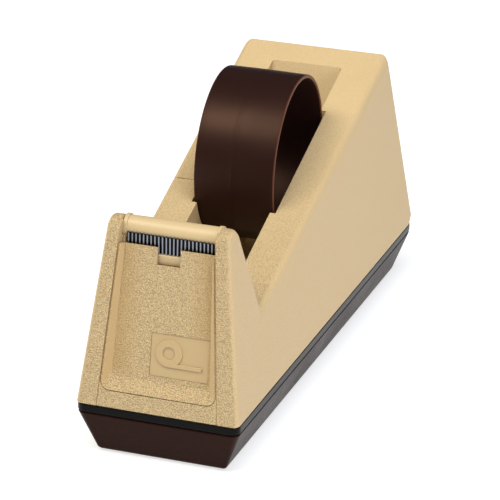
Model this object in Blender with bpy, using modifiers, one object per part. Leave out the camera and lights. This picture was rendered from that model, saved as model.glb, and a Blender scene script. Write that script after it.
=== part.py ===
"""Weighted desk tape dispenser for tape on 3 inch cores.

X runs across the dispenser, +X on the right seen from its cutter end. The cutter end faces -Y and
+Z is up. The origin is on the floor, under the middle of the body. Metres.

Most pieces are laid out in the seam frame: Y counts back from the foot of the front face, and Z
counts up from the joint between the housing and the band under it.
"""
import math

import bmesh
import bpy
from mathutils import Matrix, Vector

GAP = 0.0003                 # clearance between pieces that touch
WALL = 0.0025                # moulded wall thickness
CUT = 0.002                  # how far a cutter runs past what it cuts
FAR = 0.150                  # clear of the body on every side

# body
LENGTH = 0.240               # length along the seam
FRONT_HALF = 0.0355          # half width at the foot of the front face
WIDEN = 0.048                # half width gained per unit of length towards the rear
LEAN = 0.128                 # half width lost per unit of height
FRONT_SLOPE = 0.1697         # how far the front face leans back per unit of height
SEAM_HEIGHT = 0.0250         # seam above the floor
SIDE_EDGE = 0.0030           # rounding of the housing's long outer edges

# side outline of the housing: (Y, Z, corner radius)
TOWER_TOP_FRONT = (0.0130, 0.0766)
TOWER_TOP = (0.0200, 0.0805)
TOWER_TOP_REAR = (0.0250, 0.0753)
TOWER_TOP_ROUND, TOWER_REAR_ROUND = 0.0060, 0.0050
VALLEY = (0.0384, 0.0373)
ROOF_REAR = (0.2249, 0.0884)
REAR_FOOT = (0.2400, 0.0020)
REAR_UNDERCUT = 0.0025
TOWER_CROWN = 0.0580         # top of the hollow inside the tower
TOWER_FRONT_WALL = 0.0075

# roll well
WELL_HALF = 0.0168
WELL_FLOOR = 0.0060
WELL_FRONT_FOOT = 0.0493
WELL_REAR_FOOT = 0.1860
WELL_REAR_LIP = 0.2092
WELL_REAR_LIP_DROP = 0.0042
WELL_FRONT_ROUND, WELL_REAR_ROUND = 0.004, 0.012
POCKET_HALF = 0.0193
POCKET_RADIUS = 0.0389
POCKET_CENTRE = (0.1362, 0.0660)

# drum
DRUM_RADIUS = 0.0380
DRUM_HALF = 0.0182
DRUM_WALL = 0.0019
DRUM_DRAFT = 0.0002
DRUM_EDGE = 0.0005
DRUM_SEGMENTS = 96

# front panel, in the frame of the leaning front face
PANEL_HALF, PANEL_TAPER = 0.0263, 0.077
PANEL_TOP = 0.0700
PANEL_THICK = 0.0045
PANEL_TOP_THICK = 0.0040
PANEL_TOP_STEP = 0.0585
PANEL_SCREW = (0.0150, 0.0420)
PANEL_BOSS = (0.0030, 0.0042, 0.0073)
PANEL_BOSS_HOLE = (0.0015, 0.0038)
PANEL_BOSS_PORT = (0.0033, 0.0120)
RECESS_DEPTH = 0.0030
RECESS_MARGIN = 0.0005
RECESS_FOOT = 0.0083
RECESS_FLOOR_HALF, RECESS_FLOOR_TAPER = 0.0219, 0.044
RECESS_FLOOR_FOOT = 0.0134
RECESS_CORNER = 0.0022
NOTCH_LEFT, NOTCH_RIGHT = -0.0047, 0.0053
NOTCH_FOOT = 0.0627
BADGE_MIDDLE = (0.0076, 0.0250)
BADGE_SIZE = (0.0250, 0.0184)
BADGE_SUNK = 0.0003
BADGE_THICK = 0.0006

# cutter and bar
BAR_CENTRE = (0.0219, 0.0733)
BAR_RADIUS = 0.0047
BAR_HALF = 0.0192
BAR_FOOT = 0.0683
COLLAR_HALF = 0.0210
COLLAR_PROUD = 0.0005
COLLAR_DROP = 0.0022
BLADE_FRONT = 0.0161
BLADE_DEPTH = 0.0008
BLADE_THICK = 0.0004
BLADE_HALF = 0.0188
BLADE_FOOT = 0.0652
BLADE_TOP = 0.0733
BLADE_SCREW = (0.0120, 0.0206)
BLADE_SCREW_HOLE = (0.0014, 0.0665)
BLADE_SCREW_SEAT = 0.0577
SEAT_FRONT = 0.0060
FLUTES = 23
HOLDER_REAR = 0.0232
HOLDER_FOOT = 0.0608
LEDGE_FRONT = 0.0156

# base
BAND_FOOT = -0.0039
BAND_WIDTH = 0.0042
PAN_FOOT = -0.0243
PAN_INSET = 0.0075
FRONT_CORNER = 0.0040
REAR_CORNER = 0.0070

# weights, feet and fasteners: (X, Y) of the right-hand one of each pair
PLATE_HALF = 0.0220
PLATE_FRONT, PLATE_REAR = 0.036, 0.204
PLATE_THICK = 0.0080
FOOT_RADIUS = 0.0060
FOOT_THICK = 0.0022
FOOT_PROUD = 0.0007
FEET = {"front": (0.0190, 0.048), "rear": (0.0270, 0.196)}
BOSSES = {"front": (0.0210, 0.026), "rear": (0.0290, 0.214)}
BOSS_RADIUS = 0.0041
BOSS_HEIGHT = 0.0260
RIB_HALF, RIB_DROP = 0.0010, 0.0040
BASE_SCREW_HOLE, BASE_SCREW_HOLE_TOP = 0.0019, 0.0185
BASE_SCREW_PORT, BASE_SCREW_SEAT = 0.0036, 0.0040
PLATE_SCREWS = {"front": 0.060, "rear": 0.180}
PLATE_POST, PLATE_CORNER = 0.0040, 0.0040
PLATE_LOWER_HOLE, PLATE_UPPER_HOLE = 0.0044, 0.0021

# shank radius, head radius, head height, shank length
SCREWS = {
    "panel": (0.0012, 0.0040, 0.0014, 0.0028),
    "blade": (0.0011, 0.0020, 0.0013, 0.0080),
    "base": (0.0016, 0.0032, 0.0020, 0.0365),
    "ballast": (0.0016, 0.0038, 0.0020, 0.0120),
}
SIDES = {"left": -1, "right": 1}

parts = bpy.data.collections.new("tape_dispenser")
cutters = bpy.data.collections.new("cutters")


# ---------------------------------------------------------------- materials

def plastic(name, color, roughness, metallic=0.0):
    material = bpy.data.materials.new(name)
    material.use_nodes = True
    shader = material.node_tree.nodes["Principled BSDF"]
    shader.inputs["Base Color"].default_value = (*color, 1.0)
    shader.inputs["Roughness"].default_value = roughness
    shader.inputs["Metallic"].default_value = metallic
    return material


# ---------------------------------------------------------------- objects

def add_to(collection, obj):
    for old in list(obj.users_collection):
        old.objects.unlink(obj)
    collection.objects.link(obj)
    return obj


def as_part(obj, name, material, frame):
    obj.name = name
    obj.data.name = name
    obj.data.materials.clear()
    obj.data.materials.append(material)
    obj.parent = frame
    return add_to(parts, obj)


def as_cutter(obj, frame):
    obj.parent = frame
    obj.hide_render = True
    obj.display_type = "WIRE"
    return add_to(cutters, obj)


def box(low, high):
    """Block between two corners."""
    bpy.ops.mesh.primitive_cube_add(size=1)
    obj = bpy.context.object
    low, high = Vector(low), Vector(high)
    size = Matrix.Diagonal((*(high - low), 1.0))
    obj.data.transform(Matrix.Translation((low + high) / 2) @ size)
    return obj


def rod(radius, low, high, centre, axis="Z", sides=32):
    """Round bar between two heights along an axis; centre holds the other two coordinates."""
    bpy.ops.mesh.primitive_cylinder_add(vertices=sides, radius=radius, depth=high - low)
    obj = bpy.context.object
    middle = (low + high) / 2
    if axis == "Z":
        obj.data.transform(Matrix.Translation((centre[0], centre[1], middle)))
    elif axis == "Y":
        turn = Matrix.Rotation(math.pi / 2, 4, "X")
        obj.data.transform(Matrix.Translation((centre[0], middle, centre[1])) @ turn)
    else:
        turn = Matrix.Rotation(math.pi / 2, 4, "Y")
        obj.data.transform(Matrix.Translation((middle, centre[0], centre[1])) @ turn)
    return obj


def fillet(corners, steps=6):
    """Points of a closed outline whose corners (u, v, radius) are rounded by arcs."""
    points = []
    for index, (u, v, radius) in enumerate(corners):
        corner = Vector((u, v))
        if not radius:
            points.append(corner)
            continue
        before = Vector(corners[index - 1][:2]) - corner
        after = Vector(corners[(index + 1) % len(corners)][:2]) - corner
        half_angle = before.angle(after) / 2
        reach = radius / math.tan(half_angle)
        start = corner + before.normalized() * reach
        end = corner + after.normalized() * reach
        bisector = (before.normalized() + after.normalized()).normalized()
        centre = corner + bisector * radius / math.sin(half_angle)
        first, last = start - centre, end - centre
        sweep = first.angle_signed(last)
        for step in range(steps + 1):
            points.append(centre + Matrix.Rotation(-sweep * step / steps, 2) @ first)
    return points


def slab(points, low, high, axis="X"):
    """Flat outline given a thickness along an axis, as a clean closed mesh."""
    curve = bpy.data.curves.new("outline", "CURVE")
    curve.dimensions = "2D"
    curve.fill_mode = "BOTH"
    curve.extrude = (high - low) / 2
    spline = curve.splines.new("POLY")
    spline.points.add(len(points) - 1)
    for point, (u, v) in zip(spline.points, points):
        point.co = (u, v, 0, 1)
    spline.use_cyclic_u = True
    flat = bpy.data.objects.new("outline", curve)
    bpy.context.scene.collection.objects.link(flat)
    bpy.context.view_layer.update()
    mesh = bpy.data.meshes.new_from_object(flat.evaluated_get(bpy.context.evaluated_depsgraph_get()))
    bpy.data.objects.remove(flat)
    turns = {
        "X": Matrix(((0, 0, 1, 0), (1, 0, 0, 0), (0, 1, 0, 0), (0, 0, 0, 1))),
        "Y": Matrix(((1, 0, 0, 0), (0, 0, -1, 0), (0, 1, 0, 0), (0, 0, 0, 1))),
        "Z": Matrix.Identity(4),
    }
    middle = (low + high) / 2
    shift = {"X": (middle, 0, 0), "Y": (0, middle, 0), "Z": (0, 0, middle)}[axis]
    mesh.transform(Matrix.Translation(shift) @ turns[axis])
    work = bmesh.new()
    work.from_mesh(mesh)
    bmesh.ops.remove_doubles(work, verts=work.verts, dist=1e-6)
    bmesh.ops.dissolve_limit(work, angle_limit=math.radians(0.2), verts=work.verts, edges=work.edges)
    bmesh.ops.recalc_face_normals(work, faces=work.faces)
    work.to_mesh(mesh)
    work.free()
    obj = bpy.data.objects.new("slab", mesh)
    bpy.context.scene.collection.objects.link(obj)
    return obj


def apply_modifiers(obj):
    bpy.context.view_layer.update()
    mesh = bpy.data.meshes.new_from_object(obj.evaluated_get(bpy.context.evaluated_depsgraph_get()))
    obj.modifiers.clear()
    obj.data = mesh
    return obj


def combine(obj, other, operation, frame):
    """Cut, join or trim one object with another. The other one is kept as a hidden cutter."""
    as_cutter(other, frame)
    if obj.parent is None:
        obj.parent = frame
    modifier = obj.modifiers.new(operation.lower(), "BOOLEAN")
    modifier.operation = operation
    modifier.solver = "EXACT"
    modifier.object = other
    return apply_modifiers(obj)


def cut(obj, other, frame):
    return combine(obj, other, "DIFFERENCE", frame)


def join(obj, other, frame):
    return combine(obj, other, "UNION", frame)


def half_width(y, z):
    """Half width of the leaning, widening body."""
    return FRONT_HALF + WIDEN * y - LEAN * z


def draft_sides(obj, inset=0.0):
    """Bring both sides of a slab to the body's side planes, moved in by an inset."""
    for vertex in obj.data.vertices:
        side = 1 if vertex.co.x > 0 else -1
        vertex.co.x = side * (half_width(vertex.co.y, vertex.co.z) - inset)
    return obj


def round_edges(obj, width, segments, chosen):
    """Bevel the edges for which chosen(start, end) is true."""
    mesh = obj.data
    if "bevel_weight_edge" in mesh.attributes:
        mesh.attributes.remove(mesh.attributes["bevel_weight_edge"])
    weights = mesh.attributes.new("bevel_weight_edge", "FLOAT", "EDGE")
    for edge in mesh.edges:
        start, end = (mesh.vertices[index].co for index in edge.vertices)
        weights.data[edge.index].value = 1.0 if chosen(start, end) else 0.0
    bevel = obj.modifiers.new("rounding", "BEVEL")
    bevel.limit_method = "WEIGHT"
    bevel.width = width
    bevel.segments = segments
    bevel.use_clamp_overlap = True
    return apply_modifiers(obj)


def smooth(obj, degrees=35):
    obj.data.shade_smooth()
    obj.data.set_sharp_from_angle(angle=math.radians(degrees))


def turned(profile, axis, segments):
    """Turned piece: a closed (radius, height) profile swept round Z, then laid along an axis."""
    mesh = bpy.data.meshes.new("profile")
    count = len(profile)
    edges = [(index, (index + 1) % count) for index in range(count)]
    mesh.from_pydata([(radius, 0, height) for radius, height in profile], edges, [])
    obj = bpy.data.objects.new("turned", mesh)
    bpy.context.scene.collection.objects.link(obj)
    screw = obj.modifiers.new("turn", "SCREW")
    screw.angle = math.tau
    screw.steps = segments
    screw.render_steps = segments
    screw.use_merge_vertices = True
    screw.merge_threshold = 0.00001
    apply_modifiers(obj)
    if axis == "X":
        obj.data.transform(Matrix.Rotation(math.pi / 2, 4, "Y"))
    work = bmesh.new()
    work.from_mesh(obj.data)
    bmesh.ops.recalc_face_normals(work, faces=work.faces)
    work.to_mesh(obj.data)
    work.free()
    return obj


# ---------------------------------------------------------------- housing

def tapered_outline(half, taper, foot, top):
    """Four-sided outline in the front face that narrows upwards."""
    foot_half = half - taper * foot
    top_half = half - taper * top
    return [(-foot_half, foot), (foot_half, foot), (top_half, top), (-top_half, top)]


def blade_screw_hole(side):
    radius, top = BLADE_SCREW_HOLE
    at = (side * BLADE_SCREW[0], BLADE_SCREW[1])
    return rod(radius, TOWER_CROWN - CUT, top, at, sides=24)


def tower_rear(z):
    """Y of the tower's sloping rear face."""
    slope = (VALLEY[0] - TOWER_TOP_REAR[0]) / (VALLEY[1] - TOWER_TOP_REAR[1])
    return VALLEY[0] + slope * (z - VALLEY[1])


def outer_body():
    corners = [
        (0.0, 0.0, 0.0),
        (*TOWER_TOP_FRONT, 0.0),
        (*TOWER_TOP, TOWER_TOP_ROUND),
        (*TOWER_TOP_REAR, TOWER_REAR_ROUND),
        (*VALLEY, 0.0),
        (*ROOF_REAR, 0.0),
        (*REAR_FOOT, 0.0),
        (LENGTH - REAR_UNDERCUT, 0.0, 0.0),
    ]
    body = draft_sides(slab(fillet(corners), -FAR, FAR))

    def on_side(start, end):
        same_side = start.x * end.x > 0
        return same_side and max(start.z, end.z) > GAP

    return round_edges(body, SIDE_EDGE, 4, on_side)


def well_outline(grow=0.0):
    """Side outline of the roll well, or of its walls' outside when grown."""
    front = VALLEY[0] + GAP - grow
    rear = WELL_REAR_LIP + grow
    return [
        (WELL_FRONT_FOOT - grow, WELL_FLOOR - grow, WELL_FRONT_ROUND),
        (front, VALLEY[1] + grow, 0.0),
        (front, FAR, 0.0),
        (rear, FAR, 0.0),
        (rear, ROOF_REAR[1] - WELL_REAR_LIP_DROP, 0.0),
        (WELL_REAR_FOOT + grow, WELL_FLOOR - grow, WELL_REAR_ROUND),
    ]


def hollow(frame):
    """Empty space inside the housing's walls, round the well."""
    roof_slope = (ROOF_REAR[1] - VALLEY[1]) / (ROOF_REAR[0] - VALLEY[0])
    under_valley = VALLEY[1] - WALL * 1.2
    under_rear = under_valley + roof_slope * (ROOF_REAR[0] - VALLEY[0])
    corners = [
        (TOWER_FRONT_WALL, -CUT, 0.0),
        (TOWER_FRONT_WALL + FRONT_SLOPE * TOWER_CROWN, TOWER_CROWN, 0.0),
        (tower_rear(TOWER_CROWN) - WALL, TOWER_CROWN, 0.0),
        (VALLEY[0] - WALL * 0.7, under_valley, 0.0),
        (ROOF_REAR[0] - WALL, under_rear, 0.0),
        (LENGTH - WALL * 1.25 - REAR_UNDERCUT, -CUT, 0.0),
    ]
    space = draft_sides(slab(fillet(corners), -FAR, FAR), WALL)
    walls = slab(fillet(well_outline(WALL)), -POCKET_HALF - WALL, POCKET_HALF + WALL)
    return cut(space, walls, frame)


def pocket(frame):
    """Half-round pockets in both walls of the well, open upwards, in which the drum's ends run."""
    y, z = POCKET_CENTRE
    disc = rod(POCKET_RADIUS, -POCKET_HALF, POCKET_HALF, POCKET_CENTRE, "X", DRUM_SEGMENTS)
    mouth = box((-POCKET_HALF, y - POCKET_RADIUS, z), (POCKET_HALF, y + POCKET_RADIUS, FAR))
    return join(disc, mouth, frame)


def front_rebate():
    """Space between the posts for the panel, the blade and the bar."""
    outline = tapered_outline(PANEL_HALF + GAP, PANEL_TAPER, -CUT, FAR)
    return slab(outline, -CUT, PANEL_THICK + GAP, "Y")


def build_housing(frame, face, material):
    body = outer_body()
    body = cut(body, hollow(frame), frame)
    body = cut(body, slab(fillet(well_outline()), -WELL_HALF, WELL_HALF), frame)
    body = cut(body, pocket(frame), frame)

    body = cut(body, front_rebate(), face)
    holder_half = BAR_HALF + GAP
    collar_half = COLLAR_HALF + GAP
    collar_foot = BAR_CENTRE[1] - COLLAR_DROP
    collar_front = BAR_CENTRE[0] - BAR_RADIUS - COLLAR_PROUD - GAP
    seats = [
        ((-holder_half, SEAT_FRONT, HOLDER_FOOT - GAP), (holder_half, HOLDER_REAR + GAP, FAR)),
        ((-holder_half, SEAT_FRONT, BAR_FOOT - GAP), (holder_half, VALLEY[0], FAR)),
        ((-collar_half, collar_front, collar_foot), (collar_half, VALLEY[0], FAR)),
    ]
    for low, high in seats:
        body = cut(body, box(low, high), frame)

    for x, y in BOSSES.values():
        rib_end = half_width(y, BOSS_HEIGHT) - WALL * 0.5
        for side in SIDES.values():
            at = (side * x, y)
            low, high = sorted((side * x, side * rib_end))
            rib = box((low, y - RIB_HALF, RIB_HALF), (high, y + RIB_HALF, BOSS_HEIGHT - RIB_DROP))
            body = join(body, rod(BOSS_RADIUS, GAP / 2, BOSS_HEIGHT, at), frame)
            body = join(body, rib, frame)
            body = cut(body, rod(BASE_SCREW_HOLE, -CUT, BASE_SCREW_HOLE_TOP, at, sides=24), frame)

    radius, depth = PANEL_BOSS_PORT
    for side in SIDES.values():
        port = rod(radius, 0.0, depth, (side * PANEL_SCREW[0], PANEL_SCREW[1]), "Y", 24)
        body = cut(body, port, face)
        body = cut(body, blade_screw_hole(side), frame)

    as_part(body, "housing", material, frame)
    smooth(body)
    return body


# ---------------------------------------------------------------- front of the tower

def recess_cutter():
    """Tapered space in front of the panel's floor: wide at the face, narrow at the floor."""
    top = PANEL_TOP + CUT
    outer = tapered_outline(PANEL_HALF - RECESS_MARGIN, PANEL_TAPER, RECESS_FOOT, top)
    inner = tapered_outline(RECESS_FLOOR_HALF, RECESS_FLOOR_TAPER, RECESS_FLOOR_FOOT, top)
    cutter = box((-FAR, -GAP / 3, -FAR), (FAR, RECESS_DEPTH, FAR))
    for vertex in cutter.data.vertices:
        outline = outer if vertex.co.y < 0 else inner
        column = 0 if vertex.co.z < 0 else 3
        if vertex.co.x > 0:
            column = 1 if vertex.co.z < 0 else 2
        vertex.co.x, vertex.co.z = outline[column]

    def lower_corner(start, end):
        through = abs(start.y - end.y) > RECESS_DEPTH / 2
        return through and max(start.z, end.z) < top / 2

    return round_edges(cutter, RECESS_CORNER, 4, lower_corner)


def build_panel(frame, face, material):
    outline = tapered_outline(PANEL_HALF, PANEL_TAPER, -CUT, PANEL_TOP)
    panel = slab(outline, 0.0, PANEL_THICK, "Y")
    panel = cut(panel, recess_cutter(), face)
    panel = cut(panel, box((-FAR, -FAR, -FAR), (FAR, FAR, 0.0)), frame)
    panel = cut(panel, box((NOTCH_LEFT, -CUT, NOTCH_FOOT), (NOTCH_RIGHT, FAR, FAR)), face)
    panel = cut(panel, box((-FAR, PANEL_TOP_THICK, PANEL_TOP_STEP), (FAR, FAR, FAR)), face)
    (x, z), (wide, tall) = BADGE_MIDDLE, BADGE_SIZE
    sunk = RECESS_DEPTH + BADGE_SUNK + BADGE_THICK + GAP
    low = (x - wide / 2 - GAP, 0.0, z - tall / 2 - GAP)
    high = (x + wide / 2 + GAP, sunk, z + tall / 2 + GAP)
    panel = cut(panel, box(low, high), face)
    for side in SIDES.values():
        at = (side * PANEL_SCREW[0], PANEL_SCREW[1])
        radius, front, rear = PANEL_BOSS
        panel = join(panel, rod(radius, front, rear, at, "Y", 24), face)
        radius, front = PANEL_BOSS_HOLE
        panel = cut(panel, rod(radius, front, rear + CUT, at, "Y", 24), face)
    as_part(panel, "front_panel", material, face)
    smooth(panel)


def build_badge(face, material):
    (x, z), (wide, tall) = BADGE_MIDDLE, BADGE_SIZE
    front = RECESS_DEPTH + BADGE_SUNK
    plate = box((x - wide / 2, front, z - tall / 2), (x + wide / 2, front + BADGE_THICK, z + tall / 2))
    as_part(plate, "badge_plate", material, face)


def bar_profile(radius, foot):
    """Side outline of the bar: a half round on a straight foot."""
    y, z = BAR_CENTRE
    steps = 16
    arc = []
    for step in range(steps + 1):
        turn = math.radians(180 - 170 * step / steps)
        arc.append((y + radius * math.cos(turn), z + radius * math.sin(turn)))
    return [(y - radius, foot)] + arc + [(tower_rear(BAR_FOOT) - GAP, foot)]


def build_bar(frame, material):
    bar = slab(bar_profile(BAR_RADIUS, BAR_FOOT), -BAR_HALF, BAR_HALF)
    collar_foot = BAR_CENTRE[1] - COLLAR_DROP + GAP
    for side in SIDES.values():
        low, high = sorted((side * (BAR_HALF - GAP / 3), side * COLLAR_HALF))
        bar = join(bar, slab(bar_profile(BAR_RADIUS + COLLAR_PROUD, collar_foot), low, high), frame)
    as_part(bar, "tape_bar", material, frame)
    smooth(bar)


def build_blade(frame, material):
    """Steel strip folded into upright flutes, with a slanting top edge."""
    pitch = 2 * BLADE_HALF / FLUTES
    fold = BLADE_DEPTH - BLADE_THICK
    line = []
    for step in range(2 * FLUTES + 1):
        line.append((-BLADE_HALF + step * pitch / 2, BLADE_FRONT + fold * (step % 2)))
    back = [(x, y + BLADE_THICK) for x, y in reversed(line)]
    blade = slab(line + back, BLADE_FOOT, BLADE_TOP, "Z")
    as_part(blade, "cutter_blade", material, frame)


def build_holder(frame, material):
    seat = BLADE_FRONT + BLADE_DEPTH + GAP
    outline = [
        (LEDGE_FRONT, HOLDER_FOOT),
        (HOLDER_REAR, HOLDER_FOOT),
        (HOLDER_REAR, BAR_FOOT - GAP),
        (seat, BAR_FOOT - GAP),
        (seat, BLADE_FOOT - GAP),
        (LEDGE_FRONT, BLADE_FOOT - GAP),
    ]
    holder = slab(outline, -BAR_HALF, BAR_HALF)
    for side in SIDES.values():
        holder = cut(holder, blade_screw_hole(side), frame)
    as_part(holder, "blade_holder", material, frame)


def screw(kind, name, material, frame):
    """Pan head screw with a slotted head, pointing up from the underside of its head."""
    shank_radius, head_radius, head_height, length = SCREWS[kind]
    profile = [
        (0.0, length),
        (shank_radius * 0.4, length),
        (shank_radius, length - shank_radius),
        (shank_radius, 0.0),
        (head_radius, 0.0),
        (head_radius, -head_height * 0.5),
        (head_radius * 0.7, -head_height),
        (0.0, -head_height),
    ]
    mesh = bpy.data.meshes.new("profile")
    mesh.from_pydata([(r, 0, h) for r, h in profile], [(i, i + 1) for i in range(len(profile) - 1)], [])
    obj = bpy.data.objects.new("screw", mesh)
    bpy.context.scene.collection.objects.link(obj)
    turn = obj.modifiers.new("turn", "SCREW")
    turn.steps = 20
    turn.render_steps = 20
    turn.use_merge_vertices = True
    turn.merge_threshold = 0.00001
    apply_modifiers(obj)
    slot_half = head_radius * 0.12
    slot = box((-slot_half, -FAR, -FAR), (slot_half, FAR, -head_height * 0.55))
    obj = as_part(cut(obj, slot, None), name, material, frame)
    smooth(obj)
    return obj


def build_screws(frame, face, steel):
    panel_seat = PANEL_BOSS[2] + 0.0005
    for side_name, side in SIDES.items():
        fixing = screw("panel", "panel_screw_" + side_name, steel, face)
        fixing.location = (side * PANEL_SCREW[0], panel_seat, PANEL_SCREW[1])
        fixing.rotation_euler = (math.pi / 2, 0, 0)

        fixing = screw("blade", "blade_screw_" + side_name, steel, frame)
        fixing.location = (side * BLADE_SCREW[0], BLADE_SCREW[1], BLADE_SCREW_SEAT)

        for place, (x, y) in BOSSES.items():
            fixing = screw("base", f"base_screw_{place}_{side_name}", steel, frame)
            fixing.location = (side * x, y, PAN_FOOT + BASE_SCREW_SEAT - GAP)

    for place, y in PLATE_SCREWS.items():
        fixing = screw("ballast", "ballast_screw_" + place, steel, frame)
        fixing.location = (0, y, plate_top() + GAP)
        fixing.rotation_euler = (math.pi, 0, 0)


# ---------------------------------------------------------------- drum

def build_drum(frame, material):
    rim = DRUM_RADIUS - DRUM_DRAFT
    bore = DRUM_RADIUS - DRUM_WALL
    shoulder = DRUM_HALF - DRUM_EDGE
    profile = [
        (DRUM_RADIUS, 0.0),
        (rim, -shoulder),
        (rim - DRUM_EDGE, -DRUM_HALF),
        (bore + DRUM_EDGE, -DRUM_HALF),
        (bore, -shoulder),
        (bore, shoulder),
        (bore + DRUM_EDGE, DRUM_HALF),
        (rim - DRUM_EDGE, DRUM_HALF),
        (rim, shoulder),
    ]
    drum = turned(profile, "X", DRUM_SEGMENTS)
    as_part(drum, "drum", material, frame)
    drum.location = (0, POCKET_CENTRE[0], POCKET_CENTRE[1] - (POCKET_RADIUS - DRUM_RADIUS) + GAP)
    smooth(drum)


# ---------------------------------------------------------------- base

def footprint(inset, low, high, low_inset=None):
    """Block that follows the body's footprint, its foot moved in by low_inset."""
    low_inset = inset if low_inset is None else low_inset
    block = box((-FAR, -FAR, low), (FAR, FAR, high))
    middle = (low + high) / 2
    for vertex in block.data.vertices:
        edge = inset if vertex.co.z > middle else low_inset
        y = edge if vertex.co.y < 0 else LENGTH - edge
        side = 1 if vertex.co.x > 0 else -1
        vertex.co.x = side * (half_width(y, 0) - edge)
        vertex.co.y = y

    def upright(front):
        def chosen(start, end):
            same_column = start.x * end.x > 0 and (start.y < LENGTH / 2) == (end.y < LENGTH / 2)
            return same_column and (start.y < LENGTH / 2) == front
        return chosen

    block = round_edges(block, FRONT_CORNER - inset * 0.5, 4, upright(True))
    return round_edges(block, REAR_CORNER - inset * 0.5, 5, upright(False))


def build_band(frame, material):
    band = footprint(0.0, BAND_FOOT, -GAP)
    band = cut(band, footprint(BAND_WIDTH, BAND_FOOT - CUT, CUT), frame)
    as_part(band, "rim_band", material, frame)
    smooth(band)


def build_pan(frame, material):
    top = BAND_FOOT - GAP
    floor = PAN_FOOT + WALL
    pan = footprint(0.0, PAN_FOOT, top, PAN_INSET)
    slope = PAN_INSET / (top - PAN_FOOT)
    wall = WALL * 1.05
    inner_foot = wall + PAN_INSET - slope * WALL
    inner = footprint(wall - slope * CUT, floor, top + CUT, inner_foot)
    pan = cut(pan, inner, frame)
    boss_foot = PAN_FOOT + WALL / 3
    for x, y in BOSSES.values():
        for side in SIDES.values():
            at = (side * x, y)
            pan = join(pan, rod(BOSS_RADIUS, boss_foot, -GAP * 1.5, at), frame)
            pan = cut(pan, rod(BASE_SCREW_HOLE, PAN_FOOT - CUT, CUT, at, sides=24), frame)
            port = rod(BASE_SCREW_PORT, PAN_FOOT - CUT, PAN_FOOT + BASE_SCREW_SEAT, at, sides=24)
            pan = cut(pan, port, frame)
    for y in PLATE_SCREWS.values():
        pan = join(pan, rod(PLATE_POST, boss_foot, plate_middle() - GAP, (0, y)), frame)
        pan = cut(pan, rod(BASE_SCREW_HOLE, floor, 0.0, (0, y), sides=24), frame)
    for x, y in FEET.values():
        for side in SIDES.values():
            recess = FOOT_THICK - FOOT_PROUD + GAP
            pan = cut(pan, rod(FOOT_RADIUS + GAP, PAN_FOOT - CUT, PAN_FOOT + recess, (side * x, y)), frame)
    as_part(pan, "base_pan", material, frame)
    smooth(pan)


def plate_foot():
    return PAN_FOOT + WALL + GAP


def plate_middle():
    return plate_foot() + PLATE_THICK


def plate_top():
    return plate_middle() + GAP + PLATE_THICK


def build_plates(frame, material):
    levels = {
        "ballast_plate_lower": (plate_foot(), plate_middle(), PLATE_LOWER_HOLE),
        "ballast_plate_upper": (plate_middle() + GAP, plate_top(), PLATE_UPPER_HOLE),
    }
    for name, (low, high, hole) in levels.items():
        corners = [
            (-PLATE_HALF, PLATE_FRONT, PLATE_CORNER),
            (PLATE_HALF, PLATE_FRONT, PLATE_CORNER),
            (PLATE_HALF, PLATE_REAR, PLATE_CORNER),
            (-PLATE_HALF, PLATE_REAR, PLATE_CORNER),
        ]
        plate = slab(fillet(corners, 4), low, high, "Z")
        for y in PLATE_SCREWS.values():
            plate = cut(plate, rod(hole, low - CUT, high + CUT, (0, y), sides=24), frame)
        as_part(plate, name, material, frame)


def build_feet(frame, material):
    for place, (x, y) in FEET.items():
        for side_name, side in SIDES.items():
            low = PAN_FOOT - FOOT_PROUD
            foot = rod(FOOT_RADIUS, low, low + FOOT_THICK, (side * x, y))
            as_part(foot, f"foot_{place}_{side_name}", material, frame)
            smooth(foot)


# ---------------------------------------------------------------- assembly

def clear_scene():
    for obj in list(bpy.data.objects):
        bpy.data.objects.remove(obj, do_unlink=True)


def add_frame(name, location, parent=None, turn=0.0):
    empty = bpy.data.objects.new(name, None)
    parts.objects.link(empty)
    empty.location = location
    empty.rotation_euler = (turn, 0, 0)
    empty.parent = parent
    return empty


def main():
    clear_scene()
    bpy.context.scene.collection.children.link(parts)
    bpy.context.scene.collection.children.link(cutters)
    frame = add_frame("seam_frame", (0, -LENGTH / 2, SEAM_HEIGHT))
    face = add_frame("front_face_frame", (0, 0, 0), frame, -math.atan(FRONT_SLOPE))
    bpy.context.view_layer.update()

    tan = plastic("tan_plastic", (0.68, 0.52, 0.31), 0.55)
    tan_smooth = plastic("tan_smooth_plastic", (0.70, 0.54, 0.33), 0.38)
    brown = plastic("brown_plastic", (0.060, 0.030, 0.024), 0.35)
    base_brown = plastic("brown_textured_plastic", (0.060, 0.038, 0.032), 0.50)
    black = plastic("black_gloss_plastic", (0.012, 0.009, 0.009), 0.20)
    steel = plastic("steel", (0.62, 0.63, 0.66), 0.28, 1.0)
    iron = plastic("ballast_steel", (0.22, 0.22, 0.23), 0.60, 1.0)
    rubber = plastic("rubber", (0.020, 0.020, 0.020), 0.85)

    build_housing(frame, face, tan)
    build_panel(frame, face, tan)
    build_badge(face, tan_smooth)
    build_bar(frame, tan_smooth)
    build_blade(frame, steel)
    build_holder(frame, tan_smooth)
    build_screws(frame, face, steel)
    build_drum(frame, brown)
    build_band(frame, black)
    build_pan(frame, base_brown)
    build_plates(frame, iron)
    build_feet(frame, rubber)


main()
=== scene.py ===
import math

import bmesh
import bpy
from mathutils import Matrix, Vector


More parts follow.
